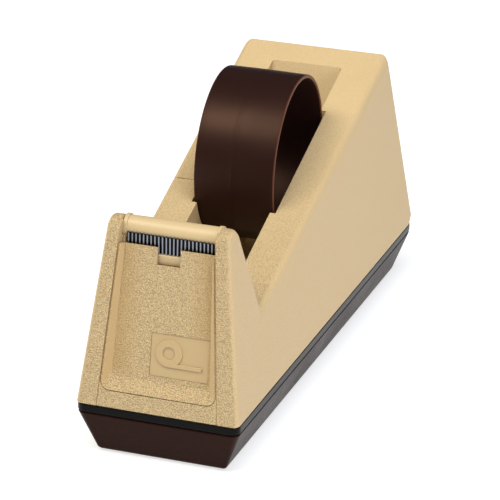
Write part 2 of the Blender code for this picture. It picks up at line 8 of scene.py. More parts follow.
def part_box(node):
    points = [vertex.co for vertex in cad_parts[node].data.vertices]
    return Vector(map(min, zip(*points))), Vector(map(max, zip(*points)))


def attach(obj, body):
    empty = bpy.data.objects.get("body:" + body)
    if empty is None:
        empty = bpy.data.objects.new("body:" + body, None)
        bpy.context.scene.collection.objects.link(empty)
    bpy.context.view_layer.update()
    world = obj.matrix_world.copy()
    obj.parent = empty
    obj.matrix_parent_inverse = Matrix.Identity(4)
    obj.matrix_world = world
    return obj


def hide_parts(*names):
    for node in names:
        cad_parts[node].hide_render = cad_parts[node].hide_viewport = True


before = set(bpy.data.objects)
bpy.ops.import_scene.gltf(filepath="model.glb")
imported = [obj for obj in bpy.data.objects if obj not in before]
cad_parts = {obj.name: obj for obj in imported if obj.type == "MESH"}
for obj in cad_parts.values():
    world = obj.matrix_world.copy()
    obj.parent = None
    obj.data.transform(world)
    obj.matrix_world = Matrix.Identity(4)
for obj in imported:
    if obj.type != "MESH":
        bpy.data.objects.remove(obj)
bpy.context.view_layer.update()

# The seam frame: Y counts back from the foot of the front face, Z up from the joint with the band.
housingLow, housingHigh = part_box("housing")
seam = Matrix.Translation((0.0, housingLow[1], housingLow[2]))
frontSlope = 0.1697                                    # how far the front face leans back per unit height
face = seam @ Matrix.Rotation(-math.atan(frontSlope), 4, "X")   # Y goes into the front face, Z up it
drumLow, drumHigh = (Vector(corner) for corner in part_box("drum"))
drumCentre = (drumLow + drumHigh) / 2

print("tape dispenser: CAD frame loaded,", len(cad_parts), "nodes")


# Mesh helpers

def addObject(name, mesh):
    piece = bpy.data.objects.new(name, mesh)
    bpy.context.scene.collection.objects.link(piece)
    return piece


def fromBmesh(work, name):
    bmesh.ops.recalc_face_normals(work, faces=work.faces)
    mesh = bpy.data.meshes.new(name)
    work.to_mesh(mesh)
    work.free()
    return addObject(name, mesh)


def arcCorners(corners, steps=8):
    points = []
    for index, (u, v, radius) in enumerate(corners):       # corner u, corner v, rounding radius
        corner = Vector((u, v))
        if not radius:
            points.append(corner)
            continue
        before = (Vector(corners[index - 1][:2]) - corner).normalized()
        after = (Vector(corners[(index + 1) % len(corners)][:2]) - corner).normalized()
        half = before.angle(after) / 2
        centre = corner + (before + after).normalized() * radius / math.sin(half)
        first = corner + before * radius / math.tan(half) - centre
        last = corner + after * radius / math.tan(half) - centre
        sweep = first.angle_signed(last)
        for step in range(steps + 1):
            points.append(centre + Matrix.Rotation(-sweep * step / steps, 2) @ first)
    return points


def quarter(edge, steps, first=0, falling=False):
    for step in range(first, steps + 1):                   # how far in, and how far along, each point is
        turn = math.radians(90 - 90 * step / steps if falling else 90 * step / steps)
        yield edge * (1 - math.sin(turn)), edge * (1 - math.cos(turn))


def loft(rings, name="loft"):
    work = bmesh.new()                                     # rings of 3D points, the ends closed by flat faces
    rows = [[work.verts.new(point) for point in ring] for ring in rings]
    for lower, upper in zip(rows, rows[1:]):
        for index in range(len(lower)):
            after = (index + 1) % len(lower)
            work.faces.new((lower[index], lower[after], upper[after], upper[index]))
    work.faces.new(reversed(rows[0]))
    work.faces.new(rows[-1])
    return fromBmesh(work, name)


def prism(points, low, high, axis="X"):
    place = {
        "X": lambda u, v, w: (w, u, v),
        "Y": lambda u, v, w: (u, w, v),
        "Z": lambda u, v, w: (u, v, w),
    }[axis]
    return loft([[place(u, v, w) for u, v in points] for w in (low, high)], "prism")


def block(low, high):
    (x0, y0, z0), (x1, y1, z1) = low, high
    return prism([(x0, y0), (x1, y0), (x1, y1), (x0, y1)], z0, z1, "Z")


def rod(radius, low, high, centre, axis="Z", sides=48):
    points = []
    for step in range(sides):
        turn = math.tau * step / sides
        points.append((centre[0] + radius * math.cos(turn), centre[1] + radius * math.sin(turn)))
    return prism(points, low, high, axis)


def applyAll(piece):
    bpy.context.view_layer.update()
    mesh = bpy.data.meshes.new_from_object(piece.evaluated_get(bpy.context.evaluated_depsgraph_get()))
    piece.modifiers.clear()
    piece.data = mesh
    return piece


def combine(piece, other, operation):
    modifier = piece.modifiers.new("combine", "BOOLEAN")
    modifier.operation = operation
    modifier.solver = "EXACT"
    modifier.object = other
    applyAll(piece)
    bpy.data.objects.remove(other)
    return piece


def cut(piece, *others):
    for other in others:
        combine(piece, other, "DIFFERENCE")
    return piece


def join(piece, *others):
    for other in others:
        combine(piece, other, "UNION")
    return piece


def cleanFlats(piece, degrees=0.15):
    work = bmesh.new()
    work.from_mesh(piece.data)
    bmesh.ops.remove_doubles(work, verts=work.verts, dist=2e-6)
    bmesh.ops.dissolve_limit(
        work, angle_limit=math.radians(degrees), verts=work.verts, edges=work.edges)
    work.to_mesh(piece.data)
    work.free()
    return piece


def roundEdges(piece, width, segments, share, miter="MITER_SHARP"):
    work = bmesh.new()                                     # share(start, end, edge): the edge's part of width
    work.from_mesh(piece.data)
    shares = [share(edge.verts[0].co, edge.verts[1].co, edge) for edge in work.edges]
    work.free()
    if "bevel_weight_edge" in piece.data.attributes:
        piece.data.attributes.remove(piece.data.attributes["bevel_weight_edge"])
    weights = piece.data.attributes.new("bevel_weight_edge", "FLOAT", "EDGE")
    weights.data.foreach_set("value", [float(value) for value in shares])
    bevel = piece.modifiers.new("rounding", "BEVEL")
    bevel.limit_method = "WEIGHT"
    bevel.width = width
    bevel.segments = segments
    bevel.miter_outer = miter
    bevel.use_clamp_overlap = True
    return applyAll(piece)


def softShade(piece, degrees=32):
    piece.data.shade_smooth()
    piece.data.set_sharp_from_angle(angle=math.radians(degrees))
    weighted = piece.modifiers.new("weighted", "WEIGHTED_NORMAL")
    weighted.keep_sharp = True
    weighted.weight = 100
    return applyAll(piece)


def finishPiece(piece, name, material, body, nodes, place=seam):
    piece.data.transform(place)
    piece.data.materials.clear()
    piece.data.materials.append(material)
    piece.name = name
    piece.data.name = name
    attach(piece, body)
    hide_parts(*nodes)
    return piece


# Shader groups

def newGroup(name, inputs, outputs):
    group = bpy.data.node_groups.new(name, "ShaderNodeTree")
    for label, kind, value in inputs:
        socket = group.interface.new_socket(label, in_out="INPUT", socket_type=kind)
        if value is not None:
            socket.default_value = value
    for label, kind in outputs:
        group.interface.new_socket(label, in_out="OUTPUT", socket_type=kind)
    start = group.nodes.new("NodeGroupInput")
    end = group.nodes.new("NodeGroupOutput")
    return group, start, end


def addNode(tree, kind, **inputs):
    node = tree.nodes.new(kind)
    for label, value in inputs.items():
        socket = node.inputs[label.replace("_", " ")]
        if isinstance(value, bpy.types.NodeSocket):
            tree.links.new(value, socket)
        else:
            socket.default_value = value
    return node


def mathNode(tree, operation, first, second=None, third=None, clamp=False):
    node = tree.nodes.new("ShaderNodeMath")
    node.operation = operation
    node.use_clamp = clamp
    for index, value in enumerate((first, second, third)):
        if value is None:
            continue
        if isinstance(value, (int, float)):
            node.inputs[index].default_value = value
        else:
            tree.links.new(value, node.inputs[index])
    return node.outputs[0]


def mixColour(tree, factor, first, second, kind="MIX"):
    node = tree.nodes.new("ShaderNodeMix")
    node.data_type = "RGBA"
    node.blend_type = kind
    for socket, value in ((node.inputs[0], factor), (node.inputs[6], first), (node.inputs[7], second)):
        if isinstance(value, (int, float)):
            socket.default_value = value
        elif isinstance(value, tuple):
            socket.default_value = (*value, 1.0)
        else:
            tree.links.new(value, socket)
    return node.outputs[2]


def noise(tree, vector, scale, detail, roughness=0.5):
    node = addNode(tree, "ShaderNodeTexNoise", Vector=vector, Scale=scale, Detail=detail, Roughness=roughness)
    return node.outputs[0]


def remap(tree, value, low, high, newLow=0.0, newHigh=1.0):
    node = addNode(
        tree, "ShaderNodeMapRange", Value=value, From_Min=low, From_Max=high, To_Min=newLow, To_Max=newHigh)
    return node.outputs[0]


def splitXyz(tree, vector):
    return addNode(tree, "ShaderNodeSeparateXYZ", Vector=vector).outputs


def buildMouldGrain():
    group, start, end = newGroup(
        "mouldGrain",
        [("Vector", "NodeSocketVector", None), ("Grain per metre", "NodeSocketFloat", 1400.0)],
        [("Height", "NodeSocketFloat"), ("Pits", "NodeSocketFloat")])
    vector, scale = start.outputs[0], start.outputs[1]
    cells = group.nodes.new("ShaderNodeTexVoronoi")
    cells.feature = "SMOOTH_F1"                            # the Smoothness input exists only in this mode
    cells.inputs["Smoothness"].default_value = 0.6
    group.links.new(vector, cells.inputs["Vector"])
    group.links.new(scale, cells.inputs["Scale"])
    fine = noise(group, vector, mathNode(group, "MULTIPLY", scale, 1.3), 2.0, 0.55)
    domes = mathNode(group, "SUBTRACT", 1.0, cells.outputs["Distance"])
    height = mathNode(group, "MULTIPLY_ADD", fine, 1.1, domes)
    group.links.new(height, end.inputs[0])
    group.links.new(remap(group, height, 0.85, 1.55), end.inputs[1])
    return group


def buildHandling():
    group, start, end = newGroup(
        "handlingMarks",
        [("Vector", "NodeSocketVector", None), ("Seed", "NodeSocketFloat", 0.0)],
        [("Smudge", "NodeSocketFloat"), ("Dust", "NodeSocketFloat")])
    shifted = group.nodes.new("ShaderNodeVectorMath")
    shifted.operation = "ADD"
    group.links.new(start.outputs[0], shifted.inputs[0])
    group.links.new(start.outputs[1], shifted.inputs[1])
    smudge = noise(group, shifted.outputs[0], 28.0, 4.0, 0.62)
    group.links.new(remap(group, smudge, 0.38, 0.68), end.inputs[0])
    specks = noise(group, shifted.outputs[0], 900.0, 1.0)
    group.links.new(remap(group, specks, 0.70, 0.78), end.inputs[1])
    return group


mouldGrain = buildMouldGrain()
handlingMarks = buildHandling()


def newMaterial(name, colour, roughness, metallic=0.0, specular=0.5, tint=(1.0, 1.0, 1.0)):
    material = bpy.data.materials.new(name)
    material.use_nodes = True
    shader = material.node_tree.nodes["Principled BSDF"]
    shader.inputs["Base Color"].default_value = (*colour, 1.0)
    shader.inputs["Roughness"].default_value = roughness
    shader.inputs["Metallic"].default_value = metallic
    shader.inputs["Specular IOR Level"].default_value = specular
    shader.inputs["Specular Tint"].default_value = (*tint, 1.0)
    material.diffuse_color = (*colour, 1.0)
    return material, material.node_tree, shader


def objectCoordinates(tree):
    return tree.nodes.new("ShaderNodeTexCoord").outputs["Object"]


def addGroup(tree, group, **values):
    node = tree.nodes.new("ShaderNodeGroup")
    node.node_tree = group
    for label, value in values.items():
        socket = node.inputs[label.replace("_", " ")]
        if isinstance(value, (int, float)):
            socket.default_value = value
        else:
            tree.links.new(value, socket)
    return node


def addBump(tree, shader, height, strength, distance):
    bump = addNode(tree, "ShaderNodeBump", Strength=strength, Distance=distance, Height=height)
    tree.links.new(bump.outputs[0], shader.inputs["Normal"])


def grainFade(tree, place, look):
    facing = splitXyz(tree, tree.nodes.new("ShaderNodeNewGeometry").outputs["Normal"])
    spot = splitXyz(tree, place)
    onSide = remap(tree, mathNode(tree, "ABSOLUTE", facing[0]), 0.35, 0.8, 1.0, look["sideGrain"])
    towardRear = remap(tree, spot[1], -0.10, 0.06, 1.0, look["rearGrain"])
    return mathNode(tree, "MULTIPLY", onSide, towardRear), facing, spot


def grainedPlastic(name, look):
    tint = look.get("tint", (1.0, 1.0, 1.0))
    material, tree, shader = newMaterial(
        name, look["colour"], look["roughness"], specular=look["specular"], tint=tint)
    place = objectCoordinates(tree)
    grain = addGroup(tree, mouldGrain, Vector=place, Grain_per_metre=look["grainPerMetre"])
    marks = addGroup(tree, handlingMarks, Vector=place, Seed=look["seed"])
    paler = tuple(min(1.0, part * look["pale"]) for part in look["colour"])
    deeper = tuple(part * look["deep"] for part in look["colour"])
    height = grain.outputs["Height"]
    colour = mixColour(tree, grain.outputs["Pits"], deeper, paler)
    if "rim" in look:                                      # painted highlight: the drum's rims are painted a redder brown
        rimGlint = remap(tree, mathNode(tree, "ABSOLUTE", splitXyz(tree, place)[0]), *look["rimAt"])
        colour = mixColour(tree, rimGlint, colour, look["rim"])
    if "sideGrain" in look:
        fade, facing, spot = grainFade(tree, place, look)
        colour = mixColour(tree, fade, look["colour"], colour)
        height = mathNode(tree, "MULTIPLY", height, fade)
        if "grime" in look:                                # painted shade: darkens the right-facing recess slope and the front faces beside both sides of the recess
            across = mathNode(tree, "ABSOLUTE", spot[0])
            beside = mathNode(
                tree, "MULTIPLY", remap(tree, across, *look["hollow"]), remap(tree, across, 0.0235, 0.0215))
            beside = mathNode(tree, "MULTIPLY", beside, remap(tree, spot[2], *look["hollowFoot"]))
            flat = mathNode(tree, "MULTIPLY", beside, remap(tree, facing[1], -0.85, -0.95))
            slope = remap(tree, facing[0], 0.15, 0.55)
            flat = mathNode(tree, "MULTIPLY", flat, look["floor"])
            grime = mathNode(tree, "MULTIPLY_ADD", slope, look["slope"], flat)
            colour = mixColour(tree, grime, colour, look["grime"])
    smudge = mathNode(tree, "MULTIPLY", marks.outputs["Smudge"], look["smudge"])
    colour = mixColour(tree, smudge, colour, deeper)
    tree.links.new(colour, shader.inputs["Base Color"])
    rough = remap(tree, marks.outputs["Smudge"], 0.0, 1.0, look["roughness"] + 0.04, look["roughness"] - 0.04)
    tree.links.new(rough, shader.inputs["Roughness"])
    addBump(tree, shader, height, look["bump"], look["bumpDepth"])
    return material


tanLook = {
    "colour": (0.620, 0.455, 0.240), "roughness": 0.50, "specular": 0.4, "pale": 1.34, "deep": 0.68,
    "smudge": 0.06, "seed": 0.0, "grainPerMetre": 1850.0, "bump": 1.0, "bumpDepth": 0.0006,
    "sideGrain": 0.22, "rearGrain": 0.22,
}
# the panel's darker recess colour and its masks paint shade on the recess slope and beside its sides
panelLook = dict(tanLook, seed=3.0, grime=(0.47, 0.30, 0.11), slope=0.45, floor=0.60, hollow=(0.010, 0.021),
                 hollowFoot=(housingLow[2] + 0.011, housingLow[2] + 0.018))
smoothTanLook = {
    "colour": (0.545, 0.41, 0.225), "roughness": 0.38, "specular": 0.4, "pale": 1.02, "deep": 0.95,
    "smudge": 0.08, "seed": 5.0, "grainPerMetre": 2500.0, "bump": 0.05, "bumpDepth": 0.0002,
}
panLook = {
    "colour": (0.019, 0.0066, 0.0042), "roughness": 0.34, "specular": 0.05, "tint": (1.0, 0.55, 0.40),
    "pale": 1.25, "deep": 0.8,
    "smudge": 0.15, "seed": 7.0, "grainPerMetre": 1700.0, "bump": 0.45, "bumpDepth": 0.00018,
}
# the drum's redder rim colour is a painted highlight along its rims
drumLook = {
    "colour": (0.0185, 0.0070, 0.0058), "roughness": 0.42, "specular": 0.25,
    "rim": (0.110, 0.036, 0.018), "rimAt": (0.01765, 0.0180), "tint": (1.0, 0.60, 0.45),
    "pale": 1.08, "deep": 0.92,
    "smudge": 0.2, "seed": 11.0, "grainPerMetre": 3000.0, "bump": 0.04, "bumpDepth": 0.0001,
}
bandLook = {
    "colour": (0.0015, 0.0012, 0.0012), "roughness": 0.16, "specular": 0.10, "pale": 1.05, "deep": 0.9,
    "smudge": 0.1, "seed": 13.0, "grainPerMetre": 3000.0, "bump": 0.02, "bumpDepth": 0.0001,
}
rubberLook = {
    "colour": (0.018, 0.018, 0.018), "roughness": 0.8, "specular": 0.3, "pale": 1.3, "deep": 0.7,
    "smudge": 0.3, "seed": 17.0, "grainPerMetre": 2200.0, "bump": 0.3, "bumpDepth": 0.0002,
}
badgeLook = dict(smoothTanLook, colour=(0.475, 0.345, 0.175), roughness=0.42, seed=6.0)
tanPlastic = grainedPlastic("tanPlastic", tanLook)
panelPlastic = grainedPlastic("panelPlastic", panelLook)
smoothTan = grainedPlastic("smoothTan", smoothTanLook)
badgePlastic = grainedPlastic("badgePlastic", badgeLook)
panPlastic = grainedPlastic("panPlastic", panLook)
drumPlastic = grainedPlastic("drumPlastic", drumLook)
bandPlastic = grainedPlastic("bandPlastic", bandLook)
rubber = grainedPlastic("rubber", rubberLook)


def metal(name, look):
    material, tree, shader = newMaterial(name, look["colour"], look["roughness"], metallic=1.0)
    place = objectCoordinates(tree)
    stretch = addNode(tree, "ShaderNodeMapping", Scale=look["stretch"], Vector=place)
    lines = noise(tree, stretch.outputs[0], look["linesPerMetre"], 3.0)
    marks = addGroup(tree, handlingMarks, Vector=place, Seed=look["seed"])
    dull = tuple(part * 0.6 for part in look["colour"])
    smudge = mathNode(tree, "MULTIPLY", marks.outputs["Smudge"], look["dull"])
    colour = mixColour(tree, smudge, look["colour"], dull)
    if "ridgeAt" in look:                                  # painted shade: the valleys between flutes are painted dark
        valley = remap(tree, splitXyz(tree, place)[1], look["ridgeAt"], look["ridgeAt"] + look["ridgeDepth"])
        colour = mixColour(tree, valley, colour, look["valleyShade"])
    tree.links.new(colour, shader.inputs["Base Color"])
    rough = remap(tree, lines, 0.3, 0.7, look["roughness"] - 0.06, look["roughness"] + 0.08)
    tree.links.new(rough, shader.inputs["Roughness"])
    addBump(tree, shader, lines, look["bump"], 0.00005)
    return material


steelLook = {
    "colour": (0.50, 0.53, 0.58), "roughness": 0.26, "stretch": (1.0, 1.0, 0.1), "linesPerMetre": 6000.0,
    "seed": 19.0, "dull": 0.3, "bump": 0.1,
}
ballastLook = {
    "colour": (0.20, 0.195, 0.19), "roughness": 0.6, "stretch": (1.0, 1.0, 1.0), "linesPerMetre": 1500.0,
    "seed": 23.0, "dull": 0.6, "bump": 0.4,
}
# the cutter's dark valley colour is a painted shade between the flutes
cutterLook = dict(
    steelLook, colour=(0.27, 0.29, 0.33), roughness=0.30, dull=0.6,
    ridgeAt=housingLow[1] + 0.01615, ridgeDepth=0.00030, valleyShade=(0.010, 0.010, 0.013))
steel = metal("steel", steelLook)
cutterSteel = metal("cutterSteel", cutterLook)
ballast = metal("ballast", ballastLook)
print("materials ready")


# Housing

housingShape = {
    "length": 0.240, "frontHalf": 0.0355, "widen": 0.048, "lean": 0.128, "wall": 0.0025,
    "towerTopFront": (0.0130, 0.0766), "towerTop": (0.0200, 0.0805), "towerTopRear": (0.0250, 0.0753),
    "towerRounds": (0.0060, 0.0050), "valley": (0.0384, 0.0373), "roofRear": (0.2249, 0.0884),
    "rearFoot": (0.2400, 0.0020), "rearUndercut": 0.0025,
    "roofEdge": 0.0044, "frontEdgeShare": 0.66, "towerEdgeShare": 0.52, "rearEdgeShare": 0.9,
    "crossEdge": 0.0022, "rimEdge": 0.0020, "rimShare": 0.40,
    "wellHalf": 0.0168, "wellFloor": 0.0060, "wellFrontFoot": 0.0493, "wellRearFoot": 0.1860,
    "wellRearLip": 0.2092, "lipDrop": 0.0042, "wellRounds": (0.004, 0.012), "wellCorner": 0.0016,
    "pocketHalf": 0.0193, "pocketRadius": 0.0389, "pocketCentre": (0.1362, 0.0660),
    "towerCrown": 0.0580, "frontWall": 0.0075, "landLine": (-0.0340, -0.0150, 0.1141, 0.00055, 0.0006),
}


def halfWidth(y, z, shape=housingShape):
    return shape["frontHalf"] + shape["widen"] * y - shape["lean"] * z


def towerRear(z, shape=housingShape):
    (rearY, rearZ), (valleyY, valleyZ) = shape["towerTopRear"], shape["valley"]
    return valleyY + (valleyY - rearY) / (valleyZ - rearZ) * (z - valleyZ)


def roofHeight(y, shape=housingShape):
    (valleyY, valleyZ), (rearY, rearZ) = shape["valley"], shape["roofRear"]
    return valleyZ + (rearZ - valleyZ) / (rearY - valleyY) * (y - valleyY)


def roofTilt(shape=housingShape):
    (valleyY, valleyZ), (rearY, rearZ) = shape["valley"], shape["roofRear"]
    return math.atan2(rearZ - valleyZ, rearY - valleyY)


def draftSides(piece, inset=0.0):
    for vertex in piece.data.vertices:
        side = 1 if vertex.co.x > 0 else -1
        vertex.co.x = side * (halfWidth(vertex.co.y, vertex.co.z) - inset)
    return piece


def outerBody(shape):
    corners = [
        (0.0, 0.0, 0.0),
        (*shape["towerTopFront"], 0.0),
        (*shape["towerTop"], shape["towerRounds"][0]),
        (*shape["towerTopRear"], shape["towerRounds"][1]),
        (*shape["valley"], 0.0),
        (*shape["roofRear"], 0.0),
        (*shape["rearFoot"], 0.0),
        (shape["length"] - shape["rearUndercut"], 0.0, 0.0),
    ]
    body = draftSides(prism(arcCorners(corners, 10), -1.0, 1.0))

    def sideShare(start, end, edge):
        if start.x * end.x < 0 or max(start.z, end.z) < 0.0002:
            return 0.0
        middle = (start + end) / 2
        if middle.y < shape["towerTopFront"][0] and middle.z < shape["towerTopFront"][1]:
            return shape["frontEdgeShare"]
        if middle.y > shape["roofRear"][0]:
            return shape["rearEdgeShare"]
        if middle.y < shape["valley"][0]:
            return shape["towerEdgeShare"]
        return 1.0

    body = roundEdges(body, shape["roofEdge"], 7, sideShare)

    def crossShare(start, end, edge):
        shares = {"towerTopFront": 0.6, "valley": 0.5, "roofRear": 1.0}
        reach = 0.0058
        for corner, value in shares.items():
            spot = Vector(shape[corner])
            near = all((Vector((co.y, co.z)) - spot).length < reach for co in (start, end))
            if near and edge.calc_face_angle(0.0) > math.radians(12):
                along = (end - start).normalized()
                if abs(along.x) > 0.9 or corner != "towerTopFront":
                    return value
        return 0.0

    return cleanFlats(roundEdges(cleanFlats(body), shape["crossEdge"], 5, crossShare))


def wellOutline(shape, grow=0.0):
    front = shape["valley"][0] + 0.0003 - grow
    rear = shape["wellRearLip"] + grow
    return arcCorners([
        (shape["wellFrontFoot"] - grow, shape["wellFloor"] - grow, shape["wellRounds"][0]),
        (front, shape["valley"][1] + grow, 0.0),
        (front, 0.15, 0.0),
        (rear, 0.15, 0.0),
        (rear, shape["roofRear"][1] - shape["lipDrop"], 0.0),
        (shape["wellRearFoot"] + grow, shape["wellFloor"] - grow, shape["wellRounds"][1]),
    ], 12)


def wellCutter(shape):
    half = shape["wellHalf"]
    well = prism(wellOutline(shape), -half, half)

    def corner(start, end, edge):
        onWall = abs(abs(start.x) - half) < 1e-6 and abs(start.x - end.x) < 1e-6
        return 1.0 if onWall and max(start.z, end.z) < 0.1 else 0.0

    return roundEdges(well, shape["wellCorner"], 4, corner)


def pocketCutter(shape):
    half, radius = shape["pocketHalf"], shape["pocketRadius"]
    y, z = shape["pocketCentre"]
    outline = [(y + radius, 0.15), (y - radius, 0.15)]
    steps = 72
    for step in range(steps + 1):
        turn = math.pi + math.pi * step / steps
        outline.append((y + radius * math.cos(turn), z + radius * math.sin(turn)))
    return prism(outline, -half, half)


def hollowSpace(shape):
    wall = shape["wall"]
    valleyY, valleyZ = shape["valley"]
    underValley = valleyZ - wall * 1.2
    underRear = underValley + roofHeight(shape["roofRear"][0]) - valleyZ
    crown, front = shape["towerCrown"], shape["frontWall"]
    corners = [
        (front, -0.002), (front + frontSlope * crown, crown), (towerRear(crown) - wall, crown),
        (valleyY - wall * 0.7, underValley), (shape["roofRear"][0] - wall, underRear),
        (shape["length"] - wall * 1.25 - shape["rearUndercut"], -0.002),
    ]
    space = draftSides(prism(corners, -1.0, 1.0), wall)
    wellWalls = prism(wellOutline(shape, wall), -shape["pocketHalf"] - wall, shape["pocketHalf"] + wall)
    return cut(space, wellWalls)


barShape = {
    "centre": (0.0219, 0.0733), "radius": 0.0047, "half": 0.0192, "foot": 0.0683,
    "collarHalf": 0.0210, "collarProud": 0.0005, "collarDrop": 0.0022, "gap": 0.0003,
}
panelShape = {
    "half": 0.0263, "taper": 0.077, "top": 0.0700, "thick": 0.0045, "topThick": 0.0040, "topStep": 0.0585,
    "recessDepth": 0.0030, "recessMargin": 0.0013, "recessFoot": 0.0083,
    "floorHalf": 0.0219, "floorTaper": 0.044, "floorFoot": 0.0134,
    "recessRound": 0.0032, "floorRound": 0.0020,
    "lip": 0.0007, "groove": 0.00022, "grooveDepth": 0.0005,
    "notch": (-0.0047, 0.0053, 0.0627), "edge": 0.0006,
    "badgeMiddle": (0.0076, 0.0250), "badgeSize": (0.0250, 0.0184), "badgeSunk": 0.0003,
}


def taperedOutline(half, taper, foot, top, rounding=0.0, steps=8):
    low, high = half - taper * foot, half - taper * top
    corners = [(-low, foot, rounding), (low, foot, rounding), (high, top, 0.0), (-high, top, 0.0)]
    return arcCorners(corners, steps)


def buildHousing(shape):
    body = outerBody(shape)
    body = cut(body, wellCutter(shape), pocketCutter(shape))
    body = cleanFlats(body)

    def rimShare(start, end, edge):
        if not edge.is_convex or edge.calc_face_angle(0.0) < math.radians(20):
            return 0.0
        inside = max(abs(start.x), abs(end.x)) < shape["pocketHalf"] + 0.0004
        onRoof = all(abs(roofHeight(co.y) - co.z) < 2e-5 for co in (start, end))
        if not (inside and onRoof):
            return 0.0
        if min(start.y, end.y) > shape["wellRearLip"] - 0.0005:
            return 1.0
        return shape["rimShare"]

    body = cleanFlats(roundEdges(body, shape["rimEdge"], 5, rimShare))
    body = cut(body, hollowSpace(shape))
    left, right, y, wide, deep = shape["landLine"]
    line = block((left, -wide / 2, -deep), (right, wide / 2, 0.002))
    line.data.transform(Matrix.Translation((0.0, y, roofHeight(y))) @ Matrix.Rotation(roofTilt(), 4, "X"))
    body = cut(body, line)

    gap = barShape["gap"]
    rebateOutline = taperedOutline(panelShape["half"] + gap / 2, panelShape["taper"], -0.002, 0.15)
    rebate = prism(rebateOutline, -0.002, panelShape["thick"] + gap, "Y")
    rebate.data.transform(Matrix.Rotation(-math.atan(frontSlope), 4, "X"))
    body = cut(body, rebate)
    y, z = barShape["centre"]
    holderHalf, collarHalf = barShape["half"] + gap, barShape["collarHalf"] + gap / 2
    collarFront = y - barShape["radius"] - barShape["collarProud"] - gap
    seats = [
        ((-holderHalf, 0.006, 0.0605), (holderHalf, 0.0235, 0.15)),
        ((-holderHalf, 0.006, barShape["foot"] - gap), (holderHalf, shape["valley"][0], 0.15)),
        ((-collarHalf, collarFront, z - barShape["collarDrop"]), (collarHalf, shape["valley"][0], 0.15)),
    ]
    for low, high in seats:
        body = cut(body, block(low, high))
    body = cleanFlats(body)

    def seatShare(start, end, edge):
        if not edge.is_convex or edge.calc_face_angle(0.0) < math.radians(30):
            return 0.0
        front = all(abs(co.y - frontSlope * co.z) < 3e-5 for co in (start, end))
        inner = min(abs(start.x), abs(end.x)) < 0.0268
        top = min(start.z, end.z) > 0.0755 and max(abs(start.x), abs(end.x)) < 0.0225
        return 1.0 if (front and inner) or top else 0.0

    body = roundEdges(body, 0.00045, 3, seatShare)
    body = addBosses(body)
    softShade(body)
    return finishPiece(body, "housingShell", tanPlastic, "body", ["housing"])


bossPlaces = {"front": (0.0210, 0.026), "rear": (0.0290, 0.214)}
bossShape = {"radius": 0.0041, "height": 0.0260, "hole": 0.0019, "holeTop": 0.0185, "rib": 0.0010}


def addBosses(body):
    radius, height, rib = bossShape["radius"], bossShape["height"], bossShape["rib"]
    for x, y in bossPlaces.values():
        ribEnd = halfWidth(y, height) - housingShape["wall"] / 2
        for side in (-1, 1):
            low, high = sorted((side * x, side * ribEnd))
            body = join(body, rod(radius, 0.0002, height, (side * x, y)))
            body = join(body, block((low, y - rib, rib), (high, y + rib, height - 0.004)))
            body = cut(body, rod(bossShape["hole"], -0.002, bossShape["holeTop"], (side * x, y), sides=32))
    return body


housing = buildHousing(housingShape)
print("housing:", len(housing.data.polygons), "faces")


# Front panel

def recessRings(shape):
    top = shape["top"] + 0.004
    lip, depth = shape["lip"], shape["recessDepth"]

    def ring(grow, share, y):
        half = (shape["half"] - shape["recessMargin"]) * (1 - share) + shape["floorHalf"] * share + grow
        taper = shape["taper"] * (1 - share) + shape["floorTaper"] * share
        foot = shape["recessFoot"] * (1 - share) + shape["floorFoot"] * share - grow
        rounding = shape["recessRound"] * (1 - share) + shape["floorRound"] * share + grow
        return [(x, y, z) for x, z in taperedOutline(half, taper, foot, top, rounding, 10)]

    rings = [ring(lip, 0.0, -0.002)]
    for step in range(6):
        turn = math.radians(90 * step / 5 * 0.62)
        rings.append(ring(lip * (1 - math.sin(turn)), 0.0, lip * (1 - math.cos(turn))))
    for share, deep in ((0.25, 0.30), (0.5, 0.56), (0.75, 0.81), (0.9, 0.945), (0.96, 0.985), (1.0, 1.0)):
        rings.append(ring(0.0, share, lip * 0.55 + (depth - lip * 0.55) * deep))
    return rings


def grooveRings(shape):
    lip, groove = shape["lip"], shape["groove"]
    top = shape["top"] + 0.004
    rings = []
    for grow, y in ((lip, -0.002), (lip, shape["grooveDepth"])):
        outline = []
        for spread in (grow + groove * 2, grow):
            half = shape["half"] - shape["recessMargin"] + spread
            foot, rounding = shape["recessFoot"] - spread, shape["recessRound"] + spread
            outline.append(taperedOutline(half, shape["taper"], foot, top, rounding, 10))
        rings.append((outline, y))
    return rings


def grooveCutter(shape):
    work = bmesh.new()
    (outlines, low), (_, high) = grooveRings(shape)
    outer, inner = outlines
    count = len(outer)
    layers = []
    for y in (low, high):
        layers.append([[work.verts.new((x, y, z)) for x, z in outline] for outline in (outer, inner)])
    for index in range(count):
        after = (index + 1) % count
        (lowOuter, lowInner), (highOuter, highInner) = layers
        work.faces.new((lowOuter[index], lowOuter[after], highOuter[after], highOuter[index]))
        work.faces.new((lowInner[after], lowInner[index], highInner[index], highInner[after]))
        work.faces.new((lowOuter[after], lowOuter[index], lowInner[index], lowInner[after]))
        work.faces.new((highOuter[index], highOuter[after], highInner[after], highInner[index]))
    return fromBmesh(work, "groove")


